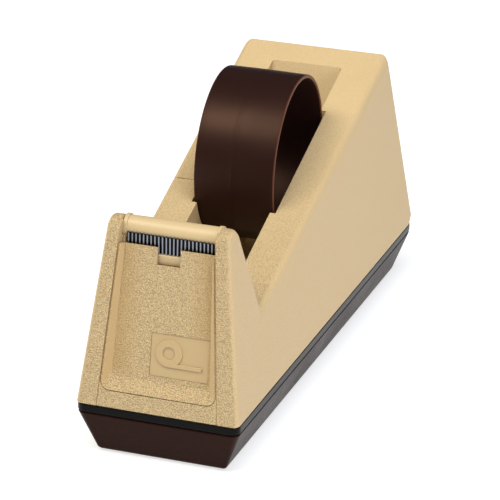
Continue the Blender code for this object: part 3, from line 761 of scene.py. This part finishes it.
def buildPanel(shape):
    outline = taperedOutline(shape["half"], shape["taper"], -0.002, shape["top"])
    panel = prism(outline, 0.0, shape["thick"], "Y")

    def frontEdge(start, end, edge):
        front = max(start.y, end.y) < 1e-6
        return 0.6 if front and min(start.z, end.z) > -0.003 and abs(start.x - end.x) < 0.03 else 0.0

    panel = roundEdges(panel, shape["edge"], 3, frontEdge)
    panel = cut(panel, loft(recessRings(shape), "recess"), grooveCutter(shape))
    level = block((-0.1, -0.1, -0.1), (0.1, 0.1, 0.00005))
    level.data.transform(Matrix.Rotation(math.atan(frontSlope), 4, "X"))
    left, right, foot = shape["notch"]
    panel = cut(panel, level, block((left, -0.002, foot), (right, 0.01, 0.09)))
    panel = cut(panel, block((-0.1, shape["topThick"], shape["topStep"]), (0.1, 0.1, 0.1)))
    (x, z), (wide, tall) = shape["badgeMiddle"], shape["badgeSize"]
    sunk = shape["recessDepth"] + shape["badgeSunk"] + 0.0009
    gap = 0.00012
    halfWide, halfTall = wide / 2 + gap, tall / 2 + gap
    panel = cut(panel, block((x - halfWide, 0.0, z - halfTall), (x + halfWide, sunk, z + halfTall)))
    panel = cleanFlats(panel)

    def topShare(start, end, edge):
        if not edge.is_convex or edge.calc_face_angle(0.0) < math.radians(30):
            return 0.0
        depth = shape["recessDepth"]
        front = all(co.y < depth + 1e-5 for co in (start, end))
        high = min(start.z, end.z) > foot - 0.0001
        return 1.0 if front and high else 0.0

    panel = roundEdges(panel, shape["edge"], 4, topShare)
    softShade(panel)
    return finishPiece(panel, "frontPanel", panelPlastic, "body", ["front_panel"], face)


frontPanel = buildPanel(panelShape)
print("front panel:", len(frontPanel.data.polygons), "faces")


# Small plate in the panel, with a raised roll of tape on it

badgeShape = {"thick": 0.0006, "raise": 0.00055, "rollCentre": (0.0030, 0.0262), "rollRadius": 0.0058,
              "rollBore": 0.0027, "strip": (0.0172, 0.0016), "edge": 0.00012}


def buildBadge(panel, shape):
    (x, z), (wide, tall) = panel["badgeMiddle"], panel["badgeSize"]
    front = panel["recessDepth"] + panel["badgeSunk"]
    plate = block((x - wide / 2, front, z - tall / 2), (x + wide / 2, front + shape["thick"], z + tall / 2))
    centre, radius = shape["rollCentre"], shape["rollRadius"]
    stripEnd, stripTall = shape["strip"]
    mark = rod(radius, front - shape["raise"], front + 0.0002, centre, "Y", 64)
    foot = centre[1] - radius
    teeth = 3
    outline = [(centre[0], foot), (stripEnd, foot)]
    for step in range(teeth):
        outline.append((stripEnd + 0.0006, foot + stripTall * (step + 0.5) / teeth))
        outline.append((stripEnd, foot + stripTall * (step + 1) / teeth))
    outline.append((centre[0], foot + stripTall))
    mark = join(mark, prism(outline, front - shape["raise"], front + 0.0002, "Y"))
    mark = cut(mark, rod(shape["rollBore"], front - 0.001, front + 0.001, centre, "Y", 48))
    plate = cleanFlats(join(plate, mark))

    def raised(start, end, edge):
        return 1.0 if max(start.y, end.y) < front - shape["raise"] + 1e-6 and edge.is_convex else 0.0

    plate = roundEdges(plate, shape["edge"], 3, raised)
    softShade(plate)
    return finishPiece(plate, "badgePlate", badgePlastic, "body", ["badge_plate"], face)


buildBadge(panelShape, badgeShape)


# Bar over the cutter

def barOutline(shape, grow, foot):
    y, z = shape["centre"]
    radius = shape["radius"] + grow
    points = [(y - radius * 0.93, foot)]
    steps = 22
    for step in range(steps + 1):
        turn = math.radians(196 - 186 * step / steps)
        points.append((y + radius * math.cos(turn), z + radius * math.sin(turn)))
    points.append((towerRear(shape["foot"]) - shape["gap"], foot))
    return points


def aroundEnd(start, end, edge):
    return 1.0 if abs(start.x - end.x) < 1e-6 else 0.0


def buildBar(shape):
    bar = prism(barOutline(shape, 0.0, shape["foot"]), -shape["half"], shape["half"])
    collarFoot = shape["centre"][1] - shape["collarDrop"] + shape["gap"]
    for side in (-1, 1):
        low, high = sorted((side * (shape["half"] - 0.0001), side * shape["collarHalf"]))
        collar = prism(barOutline(shape, shape["collarProud"], collarFoot), low, high)
        collar = roundEdges(collar, 0.00035, 3, aroundEnd)
        bar = join(bar, collar)
    softShade(bar)
    return finishPiece(bar, "tapeBar", smoothTan, "body", ["tape_bar"])


buildBar(barShape)


# Ledge that carries the cutter

holderShape = {"rear": 0.0232, "foot": 0.0608, "front": 0.0156, "seat": 0.0172, "step": 0.0649}


def buildHolder(shape):
    front, seat, rear = shape["front"], shape["seat"], shape["rear"]
    top = barShape["foot"] - barShape["gap"]
    outline = [
        (front, shape["foot"]), (rear, shape["foot"]), (rear, top),
        (seat, top), (seat, shape["step"]), (front, shape["step"]),
    ]
    holder = prism(outline, -barShape["half"], barShape["half"])
    for side in (-1, 1):
        holder = cut(holder, rod(0.0014, 0.050, 0.0665, (side * 0.0120, 0.0206), sides=24))

    def atFront(start, end, edge):
        return 1.0 if max(start.y, end.y) < shape["front"] + 1e-6 else 0.0

    holder = roundEdges(holder, 0.0003, 3, atFront)
    softShade(holder)
    return finishPiece(holder, "cutterLedge", smoothTan, "body", ["blade_holder"])


buildHolder(holderShape)


# Cutter: a strip folded into upright flutes

cutterShape = {"half": 0.0188, "front": 0.0161, "foot": 0.0652, "top": 0.0733, "flutes": 23,
               "fluteRadius": 0.00046, "stripThick": 0.0003, "tooth": 0.0007}


def geometryTree(name, inputs):
    tree = bpy.data.node_groups.new(name, "GeometryNodeTree")
    tree.interface.new_socket("Geometry", in_out="INPUT", socket_type="NodeSocketGeometry")
    sockets = {}
    for label, kind, value in inputs:
        socket = tree.interface.new_socket(label, in_out="INPUT", socket_type=kind)
        if value is not None:
            socket.default_value = value
        sockets[label] = socket.identifier
    tree.interface.new_socket("Geometry", in_out="OUTPUT", socket_type="NodeSocketGeometry")
    return tree, tree.nodes.new("NodeGroupInput"), tree.nodes.new("NodeGroupOutput"), sockets


def combineXyz(tree, x=0.0, y=0.0, z=0.0):
    return addNode(tree, "ShaderNodeCombineXYZ", X=x, Y=y, Z=z).outputs[0]


def moved(tree, geometry, offset):
    return addNode(tree, "GeometryNodeTransform", Geometry=geometry, Translation=offset).outputs[0]


def joined(tree, *parts):
    node = tree.nodes.new("GeometryNodeJoinGeometry")
    for part in parts:
        tree.links.new(part, node.inputs[0])
    return node.outputs[0]


def finished(tree, geometry, material, end):
    real = addNode(tree, "GeometryNodeRealizeInstances", Geometry=geometry)
    finish = addNode(tree, "GeometryNodeSetMaterial", Geometry=real.outputs[0], Material=material)
    tree.links.new(finish.outputs[0], end.inputs[0])


def runTree(tree, sockets, values, name):
    carrier = addObject(name, bpy.data.meshes.new(name))
    modifier = carrier.modifiers.new("build", "NODES")
    modifier.node_group = tree
    for label, value in values.items():
        modifier[sockets[label]] = value
    return applyAll(carrier)


def fluteTree():
    tree, start, end, sockets = geometryTree("cutterFlutes", [
        ("Flutes", "NodeSocketInt", 23), ("Width", "NodeSocketFloat", 0.0376),
        ("Height", "NodeSocketFloat", 0.008),
        ("Flute radius", "NodeSocketFloat", 0.00046), ("Strip thickness", "NodeSocketFloat", 0.0003),
        ("Tooth height", "NodeSocketFloat", 0.0007), ("Finish", "NodeSocketMaterial", None)])
    labels = {socket.name: socket for socket in start.outputs}
    count, width, height = labels["Flutes"], labels["Width"], labels["Height"]
    radius, thick, tooth = labels["Flute radius"], labels["Strip thickness"], labels["Tooth height"]
    pitch = mathNode(tree, "DIVIDE", width, count)
    firstX = mathNode(tree, "MULTIPLY", mathNode(tree, "SUBTRACT", width, pitch), -0.5)
    line = addNode(
        tree, "GeometryNodeMeshLine", Count=count, Start_Location=combineXyz(tree, firstX),
        Offset=combineXyz(tree, pitch))
    columnHeight = mathNode(tree, "SUBTRACT", height, tooth)
    halfHeight = mathNode(tree, "MULTIPLY", columnHeight, 0.5)
    column = addNode(tree, "GeometryNodeMeshCylinder", Vertices=14, Radius=radius, Depth=columnHeight)
    point = addNode(
        tree, "GeometryNodeMeshCone", Vertices=14, Radius_Top=0.00005, Radius_Bottom=radius, Depth=tooth)
    flute = joined(
        tree, moved(tree, column.outputs["Mesh"], combineXyz(tree, z=halfHeight)),
        moved(tree, point.outputs["Mesh"], combineXyz(tree, z=columnHeight)))
    row = addNode(tree, "GeometryNodeInstanceOnPoints", Points=line.outputs[0], Instance=flute)
    strip = addNode(tree, "GeometryNodeMeshCube", Size=combineXyz(tree, width, thick, columnHeight))
    backing = moved(tree, strip.outputs["Mesh"], combineXyz(tree, 0.0, radius, halfHeight))
    finished(tree, joined(tree, row.outputs[0], backing), labels["Finish"], end)
    return tree, sockets


def buildCutter(shape):
    tree, sockets = fluteTree()
    cutter = runTree(tree, sockets, {
        "Flutes": shape["flutes"], "Width": 2 * shape["half"], "Height": shape["top"] - shape["foot"],
        "Flute radius": shape["fluteRadius"], "Strip thickness": shape["stripThick"],
        "Tooth height": shape["tooth"], "Finish": cutterSteel}, "cutter")
    cutter.data.transform(Matrix.Translation((0.0, shape["front"] + shape["fluteRadius"], shape["foot"])))
    cutter.data.shade_smooth()
    cutter.data.set_sharp_from_angle(angle=math.radians(40))
    return finishPiece(cutter, "cutterStrip", cutterSteel, "body", ["cutter_blade"])


buildCutter(cutterShape)
print("bar and cutter ready")


# Drum

drumShape = {"radius": 0.0380, "half": 0.0182, "wall": 0.0019, "draft": 0.0002, "edge": 0.0006,
             "seamAt": -0.0011, "seamRaise": 0.000045, "seamHalf": 0.00022, "segments": 192}


def buildDrum(shape):
    radius, half, edge = shape["radius"], shape["half"], shape["edge"]
    bore = radius - shape["wall"]
    profile = []

    def outer(x):
        return radius - 0.00006 - (shape["draft"] - 0.00006) * abs(x - shape["seamAt"]) / half

    profile += [(outer(-half) - inward, -half + along) for inward, along in quarter(edge, 6)]
    for x in (-0.014, -0.010, -0.006, -0.003):
        profile.append((outer(x), x))
    seamAt, seamHalf = shape["seamAt"], shape["seamHalf"]
    profile += [(outer(seamAt - seamHalf), seamAt - seamHalf), (outer(seamAt) + shape["seamRaise"], seamAt),
                (outer(seamAt + seamHalf), seamAt + seamHalf)]
    for x in (0.002, 0.006, 0.010, 0.014):
        profile.append((outer(x), x))
    profile += [(outer(half) - inward, half - along) for inward, along in quarter(edge, 6, falling=True)]
    profile += [(bore + inward, half - along) for inward, along in quarter(edge, 4, first=1)]
    for x in (0.010, 0.0, -0.010):
        profile.append((bore, x))
    lastRound = list(quarter(edge, 4, falling=True))[:-1]
    profile += [(bore + inward, -half + along) for inward, along in lastRound]
    work = bmesh.new()
    rings = []
    for index in range(shape["segments"]):
        turn = math.tau * index / shape["segments"]
        rings.append([work.verts.new((x, r * math.cos(turn), r * math.sin(turn))) for r, x in profile])
    for index in range(shape["segments"]):
        here, there = rings[index], rings[(index + 1) % shape["segments"]]
        for spot in range(len(profile)):
            after = (spot + 1) % len(profile)
            work.faces.new((here[spot], here[after], there[after], there[spot]))
    drum = fromBmesh(work, "drum")
    drum.data.shade_smooth()
    drum.data.set_sharp_from_angle(angle=math.radians(35))
    place = Matrix.Translation(drumCentre)
    return finishPiece(drum, "tapeDrum", drumPlastic, "drum", ["drum"], place)


buildDrum(drumShape)
print("drum ready")


# Band and base pan

baseShape = {"bandFoot": -0.0039, "bandTop": -0.0003, "bandWidth": 0.0042, "bandEdge": 0.0006,
             "panTop": -0.0042, "panFoot": -0.0243, "panInset": 0.0075, "frontCorner": 0.0042,
             "rearCorner": 0.0070, "panEdge": 0.0016, "floor": 0.0025, "wall": 0.0026,
             "screwPort": 0.0036, "footPort": 0.0063, "portDepth": 0.0040}


def footprint(shape, inset, cornerCut=0.5, steps=8):
    length = housingShape["length"]
    front, rear = inset, length - inset
    frontHalf, rearHalf = halfWidth(0, 0) - inset, halfWidth(length, 0) - inset
    small = max(shape["frontCorner"] - inset * cornerCut, 0.001)
    large = max(shape["rearCorner"] - inset * cornerCut, 0.001)
    return arcCorners([(-frontHalf, front, small), (frontHalf, front, small),
                       (rearHalf, rear, large), (-rearHalf, rear, large)], steps)


def buildBand(shape):
    edge, low, high = shape["bandEdge"], shape["bandFoot"], shape["bandTop"]
    rings = [(inward, low + along) for inward, along in quarter(edge, 4)]
    rings += [(inward, high - along) for inward, along in quarter(edge, 4, falling=True)]
    band = loft([[(x, y, z) for x, y in footprint(shape, inset)] for inset, z in rings], "band")
    inner = footprint(shape, shape["bandWidth"])
    band = cut(band, prism(inner, low - 0.002, high + 0.002, "Z"))
    softShade(band)
    return finishPiece(band, "rimBand", bandPlastic, "body", ["rim_band"])


footPlaces = {"front": (0.0190, 0.048), "rear": (0.0270, 0.196)}


def buildPan(shape):
    top, foot, edge = shape["panTop"], shape["panFoot"], shape["panEdge"]
    slope = shape["panInset"] / (top - foot)
    rings = [(shape["panInset"] + inward - slope * along, foot + along) for inward, along in quarter(edge, 6)]
    rings += [(slope * 0.0006, top - 0.0006), (0.0004, top - 0.0001), (0.0007, top)]
    pan = loft([[(x, y, z) for x, y in footprint(shape, inset)] for inset, z in rings], "pan")
    wall = shape["wall"]
    hollow = loft([[(x, y, z) for x, y in footprint(shape, inset)] for inset, z in (
        (wall + shape["panInset"] - slope * shape["floor"], foot + shape["floor"]),
        (wall - slope * 0.002, top + 0.002))])
    pan = cut(pan, hollow)
    for x, y in bossPlaces.values():
        for side in (-1, 1):
            pan = join(pan, rod(0.0041, foot + 0.0008, -0.0005, (side * x, y)))
            pan = cut(pan, rod(0.0020, foot - 0.002, 0.002, (side * x, y), sides=32))
            port = rod(shape["screwPort"], foot - 0.002, foot + shape["portDepth"], (side * x, y), sides=40)
            pan = cut(pan, port)
    for x, y in footPlaces.values():
        for side in (-1, 1):
            pan = cut(pan, rod(shape["footPort"], foot - 0.002, foot + 0.0018, (side * x, y), sides=64))
    pan = cleanFlats(pan)

    def portShare(start, end, edge):
        low = max(start.z, end.z) < foot + 1e-5
        onPort = any(
            abs(math.hypot(abs(start.x) - x, start.y - y) - radius) < 1e-4
            for places, radius in ((bossPlaces, shape["screwPort"]), (footPlaces, shape["footPort"]))
            for x, y in places.values())
        return 1.0 if low and onPort else 0.0

    pan = roundEdges(pan, 0.0004, 3, portShare)
    softShade(pan)
    return finishPiece(pan, "basePan", panPlastic, "body", ["base_pan"])


buildBand(baseShape)
buildPan(baseShape)
print("base ready")


# Feet and base screws, set out by one tree each

footShape = {"radius": 0.0060, "thick": 0.0022, "edge": 0.0005, "proud": 0.0007}
screwShape = {"headRadius": 0.0032, "headHeight": 0.0020, "shankRadius": 0.0016, "length": 0.0365,
              "crossWidth": 0.0007, "crossLength": 0.0038}


def turnedTree(name):
    tree, start, end, sockets = geometryTree(name, [
        ("Pattern", "NodeSocketObject", None), ("Places", "NodeSocketObject", None),
        ("Finish", "NodeSocketMaterial", None)])
    labels = {socket.name: socket for socket in start.outputs}
    pattern = addNode(tree, "GeometryNodeObjectInfo", Object=labels["Pattern"]).outputs["Geometry"]
    places = addNode(tree, "GeometryNodeObjectInfo", Object=labels["Places"]).outputs["Geometry"]
    row = addNode(tree, "GeometryNodeInstanceOnPoints", Points=places, Instance=pattern)
    finished(tree, row.outputs[0], labels["Finish"], end)
    return tree, sockets


def spunPattern(profile, segments, name):
    work = bmesh.new()
    rings = []
    for index in range(segments):
        turn = math.tau * index / segments
        rings.append([work.verts.new((r * math.cos(turn), r * math.sin(turn), z)) for r, z in profile])
    for index in range(segments):
        here, there = rings[index], rings[(index + 1) % segments]
        for spot in range(len(profile) - 1):
            work.faces.new((here[spot], here[spot + 1], there[spot + 1], there[spot]))
    work.faces.new([ring[0] for ring in rings])
    work.faces.new([ring[-1] for ring in reversed(rings)])
    return fromBmesh(work, name)


def placeMesh(places, height):
    points = [(side * x, y, height) for x, y in places.values() for side in (-1, 1)]
    mesh = bpy.data.meshes.new("places")
    mesh.from_pydata(points, [], [])
    return addObject("places", mesh)


def setOut(pattern, places, material, name, treeName):
    tree, sockets = turnedTree(treeName)
    result = runTree(tree, sockets, {"Pattern": pattern, "Places": places, "Finish": material}, name)
    bpy.data.objects.remove(pattern)
    bpy.data.objects.remove(places)
    softShade(result, 40)
    return result


def buildFeet(shape):
    radius, thick, edge = shape["radius"], shape["thick"], shape["edge"]
    profile = [(radius - 0.0020, 0.0)]
    profile += [(radius - inward, along) for inward, along in quarter(edge, 4)]
    profile += [(radius, thick), (radius - 0.0020, thick)]
    pattern = spunPattern(profile, 48, "footPattern")
    places = placeMesh(footPlaces, baseShape["panFoot"] - shape["proud"])
    feet = setOut(pattern, places, rubber, "feet", "feetSetOut")
    nodes = [f"foot_{end}_{side}" for end in footPlaces for side in ("left", "right")]
    return finishPiece(feet, "rubberFeet", rubber, "body", nodes)


def buildBaseScrews(shape):
    head, tall, shank, length = (shape[key] for key in ("headRadius", "headHeight", "shankRadius", "length"))
    profile = [(head * 0.3, -tall), (head * 0.75, -tall * 0.93), (head * 0.95, -tall * 0.55), (head, 0.0),
               (shank, 0.0), (shank, length - shank), (shank * 0.3, length)]
    pattern = spunPattern(profile, 40, "screwPattern")
    wide, long = shape["crossWidth"] / 2, shape["crossLength"] / 2
    for x, y in ((wide, long), (long, wide)):
        pattern = cut(pattern, block((-x, -y, -tall - 0.001), (x, y, -tall * 0.35)))
    places = placeMesh(bossPlaces, baseShape["panFoot"] + baseShape["portDepth"] - barShape["gap"])
    screws = setOut(pattern, places, steel, "screws", "screwsSetOut")
    nodes = [f"base_screw_{end}_{side}" for end in bossPlaces for side in ("left", "right")]
    return finishPiece(screws, "baseScrews", steel, "body", nodes)


buildFeet(footShape)
buildBaseScrews(screwShape)

for node in ("blade_screw_left", "blade_screw_right", "panel_screw_left", "panel_screw_right",
             "ballast_screw_front", "ballast_screw_rear"):
    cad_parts[node].material_slots[0].material = steel
for node in ("ballast_plate_lower", "ballast_plate_upper"):
    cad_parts[node].material_slots[0].material = ballast
print("fasteners and ballast ready")


# Stage: floor, lights and camera

stageLook = {
    "floorColour": (0.52, 0.52, 0.52), "floorGlow": 0.66, "floorSize": 8.0, "worldStrength": 0.06,
    "aim": (0.0, 0.0, 0.06),
    "lights": {
        "key": {
            "place": (-0.40, -0.72, 1.46), "size": 0.85, "power": 19.5, "colour": (1.0, 0.95, 0.80),
            "mirrored": True},
        "right": {
            "place": (0.90, -0.62, 0.44), "size": 0.6, "power": 3.6, "colour": (0.98, 0.95, 0.96),
            "mirrored": True},
        "left": {
            "place": (-1.5, -0.35, 0.60), "size": 0.9, "power": 4.0, "colour": (1.0, 1.0, 1.0),
            "mirrored": True},
        "overhead": {
            "place": (0.42, -0.34, 1.55), "size": 0.9, "power": 19.0, "colour": (0.86, 0.90, 1.0),
            "mirrored": False},                            # lights, but is not seen in glossy surfaces
    },
}
cameraLook = {
    "azimuth": 18.105, "elevation": 23.80, "roll": 0.894, "lens": 187.2, "distance": 1.1275,
    "target": (0.0, 0.0826, 0.0344), "shift": (0.0590, 0.0256),
}


def buildFloor(look):
    half = look["floorSize"] / 2
    work = bmesh.new()
    corners = ((-half, -half), (half, -half), (half, half), (-half, half))
    work.faces.new([work.verts.new((x, y, 0.0)) for x, y in corners])
    mesh = bpy.data.meshes.new("floor")
    work.to_mesh(mesh)
    work.free()
    floor = addObject("floor", mesh)
    material, tree, shader = newMaterial("floorWhite", look["floorColour"], 0.7, specular=0.0)
    shader.inputs["Emission Color"].default_value = (1.0, 1.0, 1.0, 1.0)
    shader.inputs["Emission Strength"].default_value = look["floorGlow"]
    floor.data.materials.append(material)
    return floor


def buildLights(look):
    for name, light in look["lights"].items():
        data = bpy.data.lights.new(name, "AREA")
        data.shape = "SQUARE"
        data.size = light["size"]
        data.energy = light["power"]
        data.color = light["colour"]
        lamp = bpy.data.objects.new(name, data)
        lamp.location = light["place"]
        lamp.visible_glossy = light["mirrored"]
        aim = Vector(look["aim"]) - Vector(light["place"])
        lamp.rotation_euler = aim.to_track_quat("-Z", "Y").to_euler()
        bpy.context.scene.collection.objects.link(lamp)
    world = bpy.data.worlds.new("studio")
    world.use_nodes = True
    background = world.node_tree.nodes["Background"]
    background.inputs["Color"].default_value = (1.0, 1.0, 1.0, 1.0)
    background.inputs["Strength"].default_value = look["worldStrength"]
    bpy.context.scene.world = world


def buildCamera(look):
    data = bpy.data.cameras.new("camera")
    data.lens = look["lens"]
    data.sensor_width = 36.0
    data.shift_x, data.shift_y = look["shift"]
    data.clip_end = 20.0
    camera = bpy.data.objects.new("camera", data)
    turn, rise, roll = (math.radians(look[key]) for key in ("azimuth", "elevation", "roll"))
    back = Vector((math.sin(turn) * math.cos(rise), -math.cos(turn) * math.cos(rise), math.sin(rise)))
    right = Vector((math.cos(turn), math.sin(turn), 0.0))
    up = back.cross(right)
    rightRolled = math.cos(roll) * right + math.sin(roll) * up
    upRolled = -math.sin(roll) * right + math.cos(roll) * up
    target = seam @ Vector(look["target"])
    pose = Matrix((rightRolled, upRolled, back)).transposed().to_4x4()
    pose.translation = target + back * look["distance"]
    camera.matrix_world = pose
    bpy.context.scene.collection.objects.link(camera)
    bpy.context.scene.camera = camera


buildFloor(stageLook)
buildLights(stageLook)
buildCamera(cameraLook)
bpy.context.scene.view_settings.view_transform = "Standard"
print("stage ready")
